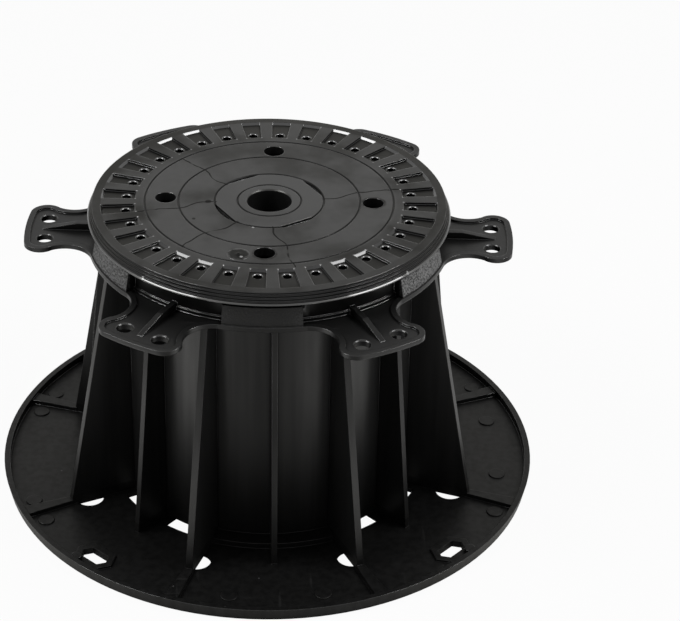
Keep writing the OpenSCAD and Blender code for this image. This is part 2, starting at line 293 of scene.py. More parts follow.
class Nodes:
    """A shader node tree, with short ways to add and join nodes."""

    def __init__(self, tree: bpy.types.NodeTree) -> None:
        """Keep the tree that nodes are added to."""
        self.tree = tree

    @classmethod
    def fresh(cls, owner: Union[bpy.types.Material, bpy.types.World]) -> "Nodes":
        """Start an empty tree.

        Args:
            owner: The material or the world that gets it.

        Returns:
            Its nodes.
        """
        owner.use_nodes = True
        owner.node_tree.nodes.clear()
        return cls(owner.node_tree)

    def add(self, kind: str, **settings: Any) -> bpy.types.Node:
        """Add a node of a kind and set its properties.

        Args:
            kind: Blender's name of the kind.
            settings: Its properties.

        Returns:
            The node.
        """
        node = self.tree.nodes.new(kind)
        for name, value in settings.items():
            setattr(node, name, value)
        return node

    def feed(self, socket: Socket, value: Value) -> None:
        """Link an input to an output, or set its value.

        Args:
            socket: The input of a node.
            value: An output of a node, or a plain value.
        """
        if isinstance(value, bpy.types.NodeSocket):
            self.tree.links.new(value, socket)
        else:
            socket.default_value = value

    def fill(self, node: bpy.types.Node, inputs: Dict[Union[int, str], Value]) -> bpy.types.Node:
        """Feed several inputs of a node.

        Args:
            node: The node.
            inputs: What each input gets, by its name or its number.

        Returns:
            The node.
        """
        for key, value in inputs.items():
            self.feed(node.inputs[key], value)
        return node

    def math(self, operation: str, *values: Value, clamp: bool = False) -> Socket:
        """Return the result of a math node, kept between 0 and 1 where it is clamped."""
        node = self.add("ShaderNodeMath", operation=operation, use_clamp=clamp)
        return self.fill(node, dict(enumerate(values))).outputs[0]

    def vector(self, operation: str, *values: Value) -> Socket:
        """Add a vector math node.

        Args:
            operation: What it does.
            values: Its inputs, in order.

        Returns:
            The result, a number where the operation gives one.
        """
        node = self.add("ShaderNodeVectorMath", operation=operation)
        single = operation in ("LENGTH", "DISTANCE", "DOT_PRODUCT")
        return self.fill(node, dict(enumerate(values))).outputs["Value" if single else "Vector"]

    def ramp(self, value: Value, low: Value, high: Value) -> Socket:
        """Return a smooth rise from 0 at low to 1 at high."""
        node = self.add("ShaderNodeMapRange", interpolation_type="SMOOTHSTEP")
        return self.fill(node, {"Value": value, "From Min": low, "From Max": high}).outputs["Result"]

    def rest(self, share: Value) -> Socket:
        """Return what a share leaves of 1."""
        return self.math("SUBTRACT", 1.0, share)

    def fall(self, value: Value, low: Value, high: Value) -> Socket:
        """Return a smooth fall from 1 at low to 0 at high."""
        return self.rest(self.ramp(value, low, high))

    def blend(self, first: Value, share: float, second: Value, other: float) -> Socket:
        """Return two values added up, each times its own share."""
        return self.math("MULTIPLY_ADD", second, other, self.math("MULTIPLY", first, share))

    def hypot(self, across: Value, along: Value) -> Socket:
        """Return the distance that two legs at a right angle span."""
        square = self.math("MULTIPLY", along, along)
        return self.math("SQRT", self.math("MULTIPLY_ADD", across, across, square))

    def noise(self, place: Socket, scale: Value, detail: float) -> Socket:
        """Return a noise between 0 and 1 at a scale, with a number of finer layers."""
        node = self.add("ShaderNodeTexNoise")
        return self.fill(node, {"Vector": place, "Scale": scale, "Detail": detail}).outputs["Fac"]

    def group(self, tree: bpy.types.NodeTree, inputs: Dict[str, Value]) -> Any:
        """Place a node group, feed its inputs and return its outputs."""
        node = self.add("ShaderNodeGroup", node_tree=tree)
        return self.fill(node, inputs).outputs


class Effects:
    """Shader node groups that the finishes share."""

    def __init__(self) -> None:
        """Build each group once."""
        self.polar = self._polar()
        self.window = self._window()
        self.moulding = self._moulding()
        self.specks = self._specks()
        self.spot = self._spot()
        self.scuffs = self._scuffs()

    @staticmethod
    def _start(name: str, vectors: Sequence[str], numbers: Sequence[str],
               outputs: Sequence[str]) -> Tuple[Nodes, Any, Any]:
        """Start a group and name its sockets.

        Args:
            name: Name of the group.
            vectors: Names of its vector inputs.
            numbers: Names of its number inputs.
            outputs: Names of its outputs, all numbers.

        Returns:
            The group's nodes, the sockets that come in and the sockets that go out.
        """
        tree = bpy.data.node_groups.new(name, "ShaderNodeTree")
        for label in vectors:
            tree.interface.new_socket(name=label, in_out="INPUT", socket_type="NodeSocketVector")
        for label in numbers:
            tree.interface.new_socket(name=label, in_out="INPUT", socket_type="NodeSocketFloat")
        for label in outputs:
            tree.interface.new_socket(name=label, in_out="OUTPUT", socket_type="NodeSocketFloat")
        nodes = Nodes(tree)
        entry = nodes.add("NodeGroupInput")
        end = nodes.add("NodeGroupOutput")
        return nodes, entry.outputs, end.inputs

    def _polar(self) -> bpy.types.NodeTree:
        """Radius, angle and height of a place about the screw axis.

        Returns:
            The group.
        """
        nodes, given, result = self._start("polar_place", ["Place"], [], ["Radius", "Turn", "Height"])
        parts = nodes.add("ShaderNodeSeparateXYZ")
        nodes.feed(parts.inputs[0], given["Place"])
        flat = nodes.vector("MULTIPLY", given["Place"], (1.0, 1.0, 0.0))
        nodes.feed(result["Radius"], nodes.vector("LENGTH", flat))
        nodes.feed(result["Turn"], nodes.math("ARCTAN2", parts.outputs["Y"], parts.outputs["X"]))
        nodes.feed(result["Height"], parts.outputs["Z"])
        return nodes.tree

    def _window(self) -> bpy.types.NodeTree:
        """Mask of the faces between two radii and two heights, with soft sides.

        Returns:
            The group.
        """
        numbers = ["Radius", "Height", "Inner", "Outer", "Low", "High", "Soft"]
        nodes, given, result = self._start("face_window", [], numbers, ["Mask"])
        sides: List[Socket] = []
        for value, low, high in (("Radius", "Inner", "Outer"), ("Height", "Low", "High")):
            before = nodes.math("SUBTRACT", given[low], given["Soft"])
            past = nodes.math("ADD", given[high], given["Soft"])
            rise = nodes.ramp(given[value], before, given[low])
            sides.append(nodes.math("MULTIPLY", rise, nodes.fall(given[value], given[high], past)))
        nodes.feed(result["Mask"], nodes.math("MULTIPLY", *sides))
        return nodes.tree

    def _moulding(self) -> bpy.types.NodeTree:
        """Uneven skin of moulded plastic: slow flow of tone and gloss, with a fine grain.

        Returns:
            The group.
        """
        outputs = ["Tone", "Gloss", "Height"]
        nodes, given, result = self._start("moulded_skin", ["Place"], ["Flow", "Grain"], outputs)
        drawn_out = (1.0, 1.0, 0.16)
        flow = nodes.noise(given["Place"], given["Flow"], detail=4.0)
        streak = nodes.noise(nodes.vector("MULTIPLY", given["Place"], drawn_out), scale=240.0, detail=3.0)
        grain = nodes.noise(given["Place"], given["Grain"], detail=2.0)
        nodes.feed(result["Tone"], nodes.ramp(nodes.blend(flow, 0.6, streak, 0.4), low=0.3, high=0.7))
        nodes.feed(result["Gloss"], nodes.blend(streak, 0.7, grain, 0.3))
        nodes.feed(result["Height"], nodes.blend(flow, 2.0, grain, 0.5))
        return nodes.tree

    def _specks(self) -> bpy.types.NodeTree:
        """Mask of a few small pale specks of dust and chafe.

        Returns:
            The group.
        """
        nodes, given, result = self._start("pale_specks", ["Place"], ["Scale", "Size", "Share"], ["Mask"])
        cells = nodes.add("ShaderNodeTexVoronoi", feature="F1")
        nodes.fill(cells, {"Vector": given["Place"], "Scale": given["Scale"]})
        pick = nodes.add("ShaderNodeSeparateColor")
        nodes.feed(pick.inputs[0], cells.outputs["Color"])
        half = nodes.math("MULTIPLY", given["Size"], 0.5)
        dot = nodes.fall(cells.outputs["Distance"], half, given["Size"])
        chosen = nodes.math("LESS_THAN", pick.outputs[0], given["Share"])
        nodes.feed(result["Mask"], nodes.math("MULTIPLY", dot, chosen))
        return nodes.tree

    def _spot(self) -> bpy.types.NodeTree:
        """Mask of a round spot with a ragged edge, on any level face.

        Returns:
            The group.
        """
        vectors, numbers = ["Place", "Centre"], ["Size", "Ragged", "Grain"]
        nodes, given, result = self._start("ragged_spot", vectors, numbers, ["Mask"])
        full_share = 0.75
        flat = nodes.vector("MULTIPLY", given["Place"], (1.0, 1.0, 0.0))
        away = nodes.vector("DISTANCE", flat, given["Centre"])
        wobble = nodes.math("SUBTRACT", nodes.noise(given["Place"], given["Grain"], detail=3.0), 0.5)
        edge = nodes.math("MULTIPLY_ADD", wobble, given["Ragged"], away)
        inside = nodes.math("MULTIPLY", given["Size"], full_share)
        nodes.feed(result["Mask"], nodes.fall(edge, inside, given["Size"]))
        return nodes.tree

    def _scuffs(self) -> bpy.types.NodeTree:
        """Mask of fine rubbed hairlines that cross in two directions.

        Returns:
            The group.
        """
        nodes, given, result = self._start("rubbed_hairlines", ["Place"], ["Fine", "Share"], ["Mask"])
        fade = 0.05
        limit = nodes.rest(given["Share"])
        past = nodes.math("ADD", limit, fade)
        lines: List[Socket] = []
        for stretch in ((1.0, 0.06, 1.0), (0.07, 1.0, 1.0)):
            lay = nodes.vector("MULTIPLY", given["Place"], stretch)
            lines.append(nodes.ramp(nodes.noise(lay, given["Fine"], detail=1.0), limit, past))
        nodes.feed(result["Mask"], nodes.math("MAXIMUM", *lines))
        return nodes.tree


@dataclass(frozen=True)
class Zone:
    """Faces between two radii and two heights, with soft sides.

    Sizes are in millimetres, and heights are measured from the level of the finish.
    """

    inner: float
    outer: float
    low: float
    high: float
    soft: float

    def at(self, radius: float) -> "Zone":
        """Return the zone moved outwards by a radius."""
        return replace(self, inner=radius + self.inner, outer=radius + self.outer)


@dataclass(frozen=True)
class Mark:
    """A ragged round mark on a level face, in millimetres and in degrees past the part's own turn."""

    radius: float
    turn: float
    size: float
    ragged: float


@dataclass(frozen=True)
class KnitLine:
    """A crooked line where the plastic met in the mould, once in each quarter of the face.

    It lies at the start angle near the hub and at the end angle near the pockets, inside its run, and fades
    with the cosine of the angle from its middle. Angles are in degrees past the part's own turn.
    """

    start: float
    end: float
    run: Zone
    middle: float
    fade: Tuple[float, float]


class Skin:
    """Layers of one finish: tone, roughness, relief, polish and dullness, which grow step by step."""

    def __init__(self, nodes: Nodes, effects: Effects, level: float, flow: float, grain: float) -> None:
        """Start from the uneven moulded skin.

        Args:
            nodes: Nodes of the material.
            effects: Shared node groups.
            level: Height that zones are measured from.
            flow: Scale of the slow unevenness.
            grain: Scale of the fine grain.
        """
        self.nodes = nodes
        self.effects = effects
        self.level = level
        self.place = nodes.add("ShaderNodeTexCoord").outputs["Object"]
        spot = nodes.group(effects.polar, {"Place": self.place})
        self.radius, self.turn, self.height = spot["Radius"], spot["Turn"], spot["Height"]
        self.moulded = nodes.group(effects.moulding, {"Place": self.place, "Flow": flow, "Grain": grain})
        self.tone: Value = 0.0
        self.rough: Value = 0.0
        self.relief: Value = 0.0
        self.polish: Value = 0.0
        self.dull: Value = 0.0
        self.edge: Value = 0.0

    def window(self, zone: Zone) -> Socket:
        """Return the mask of a zone.

        Args:
            zone: The zone.

        Returns:
            The mask.
        """
        sizes = {"Inner": zone.inner * MM, "Outer": zone.outer * MM, "Low": self.level + zone.low * MM,
                 "High": self.level + zone.high * MM, "Soft": zone.soft * MM}
        spot = {"Radius": self.radius, "Height": self.height}
        return self.nodes.group(self.effects.window, {**spot, **sizes})["Mask"]

    def spot(self, mark: Mark, turn: float, grain: float) -> Socket:
        """Return the mask of a ragged mark.

        Args:
            mark: The mark.
            turn: The part's own turn, in degrees.
            grain: Scale of the noise along its edge.

        Returns:
            The mask.
        """
        centre = (*polar(mark.radius * MM, turn + mark.turn), 0.0)
        sizes = {"Centre": centre, "Size": mark.size * MM, "Ragged": mark.ragged * MM, "Grain": grain}
        return self.nodes.group(self.effects.spot, {"Place": self.place, **sizes})["Mask"]

    def specks(self, scale: float, size: float, share: float) -> Socket:
        """Return the mask of pale specks."""
        sizes = {"Place": self.place, "Scale": scale, "Size": size, "Share": share}
        return self.nodes.group(self.effects.specks, sizes)["Mask"]

    def scuffs(self, fine: float, share: float) -> Socket:
        """Return the mask of rubbed hairlines."""
        sizes = {"Place": self.place, "Fine": fine, "Share": share}
        return self.nodes.group(self.effects.scuffs, sizes)["Mask"]

    def patches(self, scale: float, detail: float, low: float, high: float) -> Socket:
        """Return the mask of soft patches, where a noise passes from low to high."""
        return self.nodes.ramp(self.nodes.noise(self.place, scale, detail), low, high)

    def both(self, *masks: Value) -> Value:
        """Return where all masks hold.

        Args:
            masks: The masks.

        Returns:
            Their product.
        """
        held = masks[0]
        for mask in masks[1:]:
            held = self.nodes.math("MULTIPLY", held, mask)
        return held

    def lean(self, degrees: float, low: float, high: float) -> Socket:
        """Return a weight that rises with the cosine of the angle from a direction."""
        away = self.nodes.math("SUBTRACT", self.turn, math.radians(degrees))
        return self.nodes.ramp(self.nodes.math("COSINE", away), low, high)

    def swing(self, degrees: float, count: int) -> Socket:
        """Return the angle from the nearest of several evenly spaced directions.

        Args:
            degrees: Angle of the first direction.
            count: Number of directions.

        Returns:
            The angle in radians, below 0 on one side.
        """
        pitch = 2 * math.pi / count
        start = math.radians(degrees) - pitch / 2
        share = self.nodes.math("FLOORED_MODULO", self.nodes.math("SUBTRACT", self.turn, start), pitch)
        return self.nodes.math("SUBTRACT", share, pitch / 2)

    def layer(self, mask: Value, tone: float = 0.0, rough: float = 0.0, relief: float = 0.0,
              polish: float = 0.0, dull: float = 0.0) -> None:
        """Add a mask to the layers, each by its own amount.

        Args:
            mask: Where the layer lies.
            tone: Amount towards the pale colour.
            rough: Amount of roughness.
            relief: Height in millimetres.
            polish: Amount of polish.
            dull: Amount of dullness, which takes the sheen away; several zones use it as painted shade.
        """
        amounts = {"tone": tone, "rough": rough, "relief": relief, "polish": polish, "dull": dull}
        for name, amount in amounts.items():
            if amount:
                grown = self.nodes.math("MULTIPLY_ADD", mask, amount, getattr(self, name))
                setattr(self, name, grown)


# Finishes


@dataclass(frozen=True)
class BlackPlastic:
    """Black moulded plastic with an uneven satin skin, worn bright edges and painted shade in its concave
    corners.

    The zones of a finish are measured from its level.
    """

    slot: Slot
    specular: float
    roughness: float
    level: float = 0.0
    deep: float = 0.005
    pale: float = 0.3
    tone: float = 0.004
    flow_tone: float = 0.012
    flow_dull: float = 0.2
    flow_scale: float = 26.0
    gloss_rough: float = 0.16
    grain_scale: float = 1500.0
    grain_height: float = 0.004
    edge_round: float = 0.35 * MM
    edge_bend: Tuple[float, float] = (0.04, 0.25)
    edge_polish: float = 0.5
    corner_reach: float = 1.6 * MM
    corner_shut: Tuple[float, float] = (0.08, 0.5)
    corner_painted_shade: float = 0.9
    corner_rough: float = 0.15
    most_dull: float = 0.95
    least_rough: float = 0.05
    coat_roughness: float = 0.06
    coat_ior: float = 1.9
    sheen: Colour = (1.0, 0.99, 0.95, 1.0)

    def details(self, skin: Skin) -> None:
        """Add what only this finish has."""

    def build(self, effects: Effects) -> bpy.types.Material:
        """Build the material.

        Args:
            effects: Shared node groups.

        Returns:
            The material, named after its slot.
        """
        material = bpy.data.materials.new(self.slot.value)
        nodes = Nodes.fresh(material)
        skin = Skin(nodes, effects, self.level, self.flow_scale, self.grain_scale)
        skin.tone = self.tone
        skin.rough = self.roughness
        skin.layer(skin.moulded["Tone"], tone=self.flow_tone, dull=self.flow_dull)
        skin.layer(skin.moulded["Gloss"], rough=self.gloss_rough)
        skin.layer(skin.moulded["Height"], relief=self.grain_height)
        edge = nodes.add("ShaderNodeBevel", samples=6)
        rounded = nodes.fill(edge, {"Radius": self.edge_round}).outputs["Normal"]
        flat = nodes.add("ShaderNodeNewGeometry").outputs["True Normal"]
        bend = nodes.rest(nodes.vector("DOT_PRODUCT", rounded, flat))
        skin.edge = nodes.ramp(bend, *self.edge_bend)
        skin.layer(skin.edge, polish=self.edge_polish)
        # Painted shade: an occlusion mask dulls concave corners dark and also roughens them.
        near = nodes.add("ShaderNodeAmbientOcclusion", samples=8, only_local=True)
        open_share = nodes.fill(near, {"Distance": self.corner_reach}).outputs["AO"]
        painted_corner_shade = nodes.ramp(nodes.rest(open_share), *self.corner_shut)
        skin.layer(painted_corner_shade, rough=self.corner_rough, dull=self.corner_painted_shade)
        self.details(skin)
        tone = nodes.math("MAXIMUM", skin.tone, 0.0, clamp=True)
        colour = nodes.add("ShaderNodeMix", data_type="RGBA")
        nodes.fill(colour, {"Factor": tone, MIX_DEEP: grey(self.deep), MIX_PALE: grey(self.pale)})
        bump = nodes.add("ShaderNodeBump")
        nodes.fill(bump, {"Distance": MM, "Height": skin.relief, "Normal": rounded})
        shader = nodes.add("ShaderNodeBsdfPrincipled")
        nodes.fill(shader, {
            "Base Color": colour.outputs[MIX_RESULT],
            "Metallic": nodes.math("MINIMUM", skin.dull, self.most_dull, clamp=True),
            "Roughness": nodes.math("MAXIMUM", skin.rough, self.least_rough, clamp=True),
            "Coat Weight": nodes.math("MINIMUM", skin.polish, 1.0, clamp=True),
            "Specular IOR Level": self.specular,
            "Specular Tint": self.sheen,
            "Coat Roughness": self.coat_roughness,
            "Coat IOR": self.coat_ior,
            "Normal": bump.outputs["Normal"],
            "Coat Normal": rounded})
        nodes.fill(nodes.add("ShaderNodeOutputMaterial"), {"Surface": shader.outputs["BSDF"]})
        return material


@dataclass(frozen=True)
class BasePlastic(BlackPlastic):
    """Finish of the base: dark and smooth, with dust and rubbed lines on its plate."""

    plate: Zone = Zone(60.0, 120.0, -1.0, 6.0, 1.0)
    rim: Zone = Zone(112.0, 120.0, 1.0, 12.0, 0.5)
    drawn_up: Tuple[float, float, float] = (1.0, 1.0, 0.03)

    def details(self, skin: Skin) -> None:
        """Add dust and scuffs on the plate, a bright edge on the rim and flow lines up the walls.

        Args:
            skin: Layers of the finish.
        """
        plate = skin.window(self.plate)
        skin.layer(plate, tone=0.006, rough=0.09, dull=0.53)
        skin.layer(skin.both(plate, skin.specks(scale=140.0, size=0.06, share=0.08)), tone=0.25, rough=0.2)
        skin.layer(skin.both(plate, skin.scuffs(fine=420.0, share=0.3)), tone=0.012, rough=0.1)
        skin.layer(skin.both(skin.window(self.rim), skin.edge), polish=0.5)
        rise = skin.nodes.vector("MULTIPLY", skin.place, self.drawn_up)
        flow = skin.nodes.noise(rise, scale=320.0, detail=3.0)
        skin.layer(skin.nodes.ramp(flow, low=0.35, high=0.7), dull=0.22)


@dataclass(frozen=True)
class RingPlastic(BlackPlastic):
    """Finish of the turning ring: satin, with a grainy band in each gap between its ears.

    Its level is the ears' upper face. Each entry of the band's painted light is a direction in which the band
    is painted lighter, as if lit from there, and the amount.
    """

    turn: float = -4.0
    ears: int = 6
    hole_out: float = 94.9 * MM
    hole_side: float = 8.35 * MM
    hole_shade: Tuple[float, float] = (3.75 * MM, 3.95 * MM)
    hole_mouth: Tuple[float, float] = (3.65 * MM, 3.75 * MM)
    mouth_drop: Tuple[float, float] = (0.6 * MM, 0.4 * MM)
    band: Zone = Zone(74.6, 77.4, 1.2, 8.9, 0.1)
    band_turn: float = 26.0
    band_painted_light: Tuple[Tuple[float, float], ...] = ((-34.0, 0.6), (206.0, 0.4))
    collar: Zone = Zone(71.0, 74.5, 0.0, 4.5, 0.2)

    def from_hole(self, skin: Skin) -> Socket:
        """Distance from the axis of the nearest ear hole.

        Args:
            skin: Layers of the finish.

        Returns:
            The distance.
        """
        nodes = skin.nodes
        swing = skin.swing(self.turn, self.ears)
        along = nodes.math("MULTIPLY", nodes.math("COSINE", swing), skin.radius)
        across = nodes.math("ABSOLUTE", nodes.math("MULTIPLY", nodes.math("SINE", swing), skin.radius))
        ahead = nodes.math("SUBTRACT", along, self.hole_out)
        return nodes.hypot(ahead, nodes.math("SUBTRACT", across, self.hole_side))

    def details(self, skin: Skin) -> None:
        """Add the band's grain with painted light on its sides, a collar edge that is polished and carries a
        broken painted highlight, painted shade on the hole walls with bright polished mouths, and dust.

        Args:
            skin: Layers of the finish.
        """
        nodes = skin.nodes
        past = nodes.math("SUBTRACT", skin.turn, math.radians(self.band_turn))
        beat = nodes.math("COSINE", nodes.math("MULTIPLY", past, self.ears))
        grainy = skin.both(skin.window(self.band), nodes.ramp(beat, low=0.2, high=0.34))
        pits = skin.patches(scale=1300.0, detail=3.0, low=0.3, high=0.68)
        skin.layer(grainy, tone=0.01, rough=0.15)
        skin.layer(skin.both(grainy, pits), relief=0.12)
        # Painted light: the grain is painted lighter on the sides that face the lamps.
        for middle, painted_light in self.band_painted_light:
            skin.layer(skin.both(grainy, pits, skin.lean(middle, low=0.6, high=0.95)), tone=painted_light)
        collar = skin.both(skin.window(self.collar), skin.edge)
        skin.layer(collar, polish=0.9)
        # Painted highlight: broken pale dashes along the collar's edge.
        skin.layer(skin.both(collar, skin.patches(scale=150.0, detail=2.0, low=0.5, high=0.6)), tone=0.5)
        away = self.from_hole(skin)
        low, high = (self.level - drop for drop in self.mouth_drop)
        below = nodes.fall(skin.height, low, high)
        # Painted shade: the walls inside the ear holes are dulled dark.
        skin.layer(skin.both(nodes.fall(away, *self.hole_shade), below), dull=0.9)
        skin.layer(skin.both(nodes.fall(away, *self.hole_mouth), nodes.rest(below)), polish=0.3, dull=0.5)
        skin.layer(skin.specks(scale=120.0, size=0.05, share=0.06), tone=0.5, rough=0.2)
        skin.layer(skin.scuffs(fine=500.0, share=0.3), tone=0.02, rough=0.1)


@dataclass(frozen=True)
class HeadPlastic(BlackPlastic):
    """Finish of the head: satin face with knit lines and burns, polished pocket ends.

    Its level is the top face. The radii of the grooves are in millimetres.
    """

    turn: float = -4.5
    pockets: int = 32
    pocket_turn: float = -1.8
    pocket_angle: float = 6.7
    pocket_depth: float = 1.0 * MM
    pocket_walls: Zone = Zone(56.8, 71.4, -0.9, -0.05, 0.05)
    pocket_floors: Zone = Zone(56.8, 71.4, -1.2, -0.9, 0.05)
    glint_size: Tuple[float, float] = (0.2 * MM, 0.55 * MM)
    glint_drop: Tuple[float, float] = (2.0 * MM, 1.5 * MM)
    hole_lips: Zone = Zone(58.0, 64.0, -3.0, -1.1, 0.05)
    rim: Zone = Zone(74.9, 90.0, -12.0, -0.5, 0.1)
    skirt: Zone = Zone(76.45, 90.0, -12.0, -0.5, 0.02)
    lands: Zone = Zone(54.8, 90.0, -0.1, 0.1, 2.0)
    border: Zone = Zone(71.4, 90.0, -0.1, 0.1, 0.3)
    hub: Zone = Zone(0.0, 22.6, -0.2, 0.1, 0.3)
    hub_notches: Zone = Zone(18.0, 23.6, -3.0, -0.15, 0.05)
    groove: Zone = Zone(-0.5, 0.5, -1.0, 0.1, 0.12)
    grooves: Tuple[float, ...] = (13.5, 23.1, 38.5, 52.7)
    knit_half: float = 0.5 * MM
    knit_core: float = 0.35
    knit_bend: Tuple[float, float] = (27.0 * MM, 39.0 * MM)
    knit_wander: float = 5.0
    knits: Tuple[KnitLine, ...] = (
        KnitLine(56.5, 49.3, Zone(22.5, 53.0, -0.3, 0.1, 0.6), 190.0, (-0.6, 0.6)),
        KnitLine(6.0, 13.0, Zone(22.5, 56.0, -0.3, 0.1, 0.6), 290.0, (-0.9, -0.3)))
    burns: Tuple[Mark, ...] = (
        Mark(46.7, -103.1, 4.6, 5.0), Mark(44.2, -90.0, 5.7, 2.4), Mark(44.2, 0.0, 5.8, 2.6),
        Mark(26.0, -174.4, 1.4, 1.6), Mark(35.4, -150.6, 0.9, 0.6))
    nubs: Tuple[Mark, ...] = (Mark(48.4, -101.0, 0.8, 0.3), Mark(24.0, -103.8, 0.6, 0.3))
    painted_rim_highlights: Tuple[Mark, ...] = (Mark(76.6, -129.3, 0.7, 0.2), Mark(76.6, -40.0, 0.7, 0.2))
    burn_grain: float = 420.0
    nub_grain: float = 900.0

    def knit(self, skin: Skin, line: KnitLine) -> Socket:
        """Mask of a knit line, which a slow noise makes wander and break up.

        Args:
            skin: Layers of the finish.
            line: The line.

        Returns:
            The mask.
        """
        nodes = skin.nodes
        local = nodes.math("SUBTRACT", skin.turn, math.radians(self.turn))
        quarter = nodes.math("FLOORED_MODULO", local, math.pi / 2)
        bend = nodes.ramp(skin.radius, *self.knit_bend)
        start, change = math.radians(line.start), math.radians(line.end - line.start)
        middle = nodes.math("MULTIPLY_ADD", bend, change, start)
        wander = nodes.math("SUBTRACT", nodes.noise(skin.place, scale=90.0, detail=3.0), 0.5)
        crooked = nodes.math("MULTIPLY_ADD", wander, math.radians(self.knit_wander), middle)
        aside = nodes.math("ABSOLUTE", nodes.math("SUBTRACT", quarter, crooked))
        away = nodes.math("MULTIPLY", aside, skin.radius)
        thin = nodes.fall(away, self.knit_core * self.knit_half, self.knit_half)
        broken = skin.patches(scale=130.0, detail=2.0, low=0.3, high=0.46)
        shown = skin.lean(self.turn + line.middle, *line.fade)
        return skin.both(thin, skin.window(line.run), broken, shown)

    def glints(self, skin: Skin) -> Socket:
        """Mask of a small painted highlight in both inner corners of each pocket.

        Args:
            skin: Layers of the finish.

        Returns:
            The mask.
        """
        nodes = skin.nodes
        side = nodes.math("ABSOLUTE", skin.swing(self.turn + self.pocket_turn, self.pockets))
        past = nodes.math("SUBTRACT", side, math.radians(self.pocket_angle / 2))
        across = nodes.math("MULTIPLY", past, skin.radius)
        along = nodes.math("SUBTRACT", skin.radius, self.pocket_walls.inner * MM)
        spot = nodes.fall(nodes.hypot(across, along), *self.glint_size)
        low, high = (self.level - drop for drop in self.glint_drop)
        return skin.both(spot, nodes.ramp(skin.height, low, high))

    def pocket_details(self, skin: Skin, back_shade: Socket) -> None:
        """Polish the ends of the pockets and the hole lips, and dull the walls and floors, with painted shade
        on the walls and on the floors towards the back.

        Args:
            skin: Layers of the finish.
            back_shade: Weight of the painted shade, which rises towards the back.
        """
        walls, end = self.pocket_walls, self.pocket_depth / MM
        skin.layer(skin.window(replace(walls, inner=walls.outer - end)), polish=0.66)
        skin.layer(skin.window(replace(walls, outer=walls.inner + end)), polish=0.36)
        # Painted shade: the pocket walls are dulled dark.
        skin.layer(skin.window(walls), dull=0.8)
        # Painted highlight: pale spots in the inner corners of the pockets.
        skin.layer(self.glints(skin), tone=0.6)
        floors = skin.window(self.pocket_floors)
        skin.layer(floors, dull=0.6)
        # Painted shade: the pocket floors grow duller towards the back.
        skin.layer(skin.both(floors, back_shade), dull=0.36)
        skin.layer(skin.window(self.hole_lips), polish=1.0, dull=0.8)

    def rim_details(self, skin: Skin, back_shade: Socket) -> None:
        """Dull the rim and the face beside it, with painted shade on the border towards the back, make the
        skirt bright with polish and paint two small highlights on the rim.

        Args:
            skin: Layers of the finish.
            back_shade: Weight of the painted shade, which rises towards the back.
        """
        rim = skin.window(self.rim)
        skin.layer(rim, rough=0.1, dull=0.9)
        skin.layer(skin.window(self.skirt), polish=0.45, rough=-0.1, dull=-0.9)
        # Painted highlights: two small pale marks on the rim.
        for mark in self.painted_rim_highlights:
            skin.layer(skin.both(skin.spot(mark, self.turn, self.nub_grain), rim), tone=0.7)
        skin.layer(skin.window(self.lands), dull=0.26)
        border = skin.window(self.border)
        skin.layer(border, dull=0.18)
        # Painted shade: the border grows duller towards the back.
        skin.layer(skin.both(border, back_shade), dull=0.34)

    def face_details(self, skin: Skin) -> None:
        """Add the hub's sheen, painted shade in the grooves and the hub's notches, clouds, knit lines, burns
        and nubs to the face.

        Args:
            skin: Layers of the finish.
        """
        skin.layer(skin.window(self.hub), dull=-0.5)
        # Painted shade: the grooves and the floors of the hub's notches are dulled dark.
        for radius in self.grooves:
            skin.layer(skin.window(self.groove.at(radius)), dull=0.95)
        skin.layer(skin.window(self.hub_notches), dull=0.8)
        skin.layer(skin.patches(scale=36.0, detail=3.0, low=0.4, high=0.68), dull=0.5, rough=0.1)
        for line in self.knits:
            skin.layer(self.knit(skin, line), dull=0.9, rough=0.3, relief=-0.06)
        for mark in self.burns:
            skin.layer(skin.spot(mark, self.turn, self.burn_grain), dull=0.75, rough=0.2)
        for mark in self.nubs:
            skin.layer(skin.spot(mark, self.turn, self.nub_grain), tone=0.8, dull=-0.7)

    def details(self, skin: Skin) -> None:
        """Add what the pockets, the rim and the face have, and dust.

        Args:
            skin: Layers of the finish.
        """
        # Painted shade: a weight that darkens the pocket floors and the border towards the back.
        back_shade = skin.lean(86.0, low=-0.9, high=0.4)
        self.pocket_details(skin, back_shade)
        self.rim_details(skin, back_shade)
        self.face_details(skin)
        skin.layer(skin.specks(scale=150.0, size=0.05, share=0.05), tone=0.3, rough=0.2)


# Sub-assemblies


@dataclass
class Base:
    """The ribbed base with the marks of its mould.

    A pair of pin marks is given by the angle of its middle, the angle to either side, and its radius.
    """

    finish: BasePlastic
    plate_top: float = 2.2 * MM
    pin_radius: float = 3.6 * MM
    pin_height: float = 0.5 * MM
    pin_rim: float = 0.2 * MM
    pin_around: int = 28
    pin_pairs: Tuple[Tuple[float, float, float], ...] = (
        (0.0, 11.6, 103.5 * MM),
        (90.0, 11.3, 104.0 * MM),
        (180.0, 18.4, 108.9 * MM),
        (270.0, 10.7, 105.3 * MM),
        (0.0, 26.6, 109.0 * MM),
        (180.0, 26.6, 109.0 * MM))

    def pins(self) -> bpy.types.Object:
        """Round marks of the ejector pins, in pairs about the two level axes.

        Returns:
            The piece.
        """
        radius, height, rim = self.pin_radius, self.pin_height, self.pin_rim
        profile = [(radius - rim, height), (radius, height - rim), (radius, -rim)]
        places = [(*polar(out, middle + side * apart), self.plate_top)
                  for middle, apart, out in self.pin_pairs for side in (-1, 1)]
        return studs("pin_marks", profile, places, self.pin_around)

    def build(self, effects: Effects) -> None:
        """Dress the base and add its marks.

        Args:
            effects: Shared node groups.
        """
        plastic = self.finish.build(effects)
        dress(Body.BASE.value, plastic)
        put_on(self.pins(), Body.BASE, plastic)


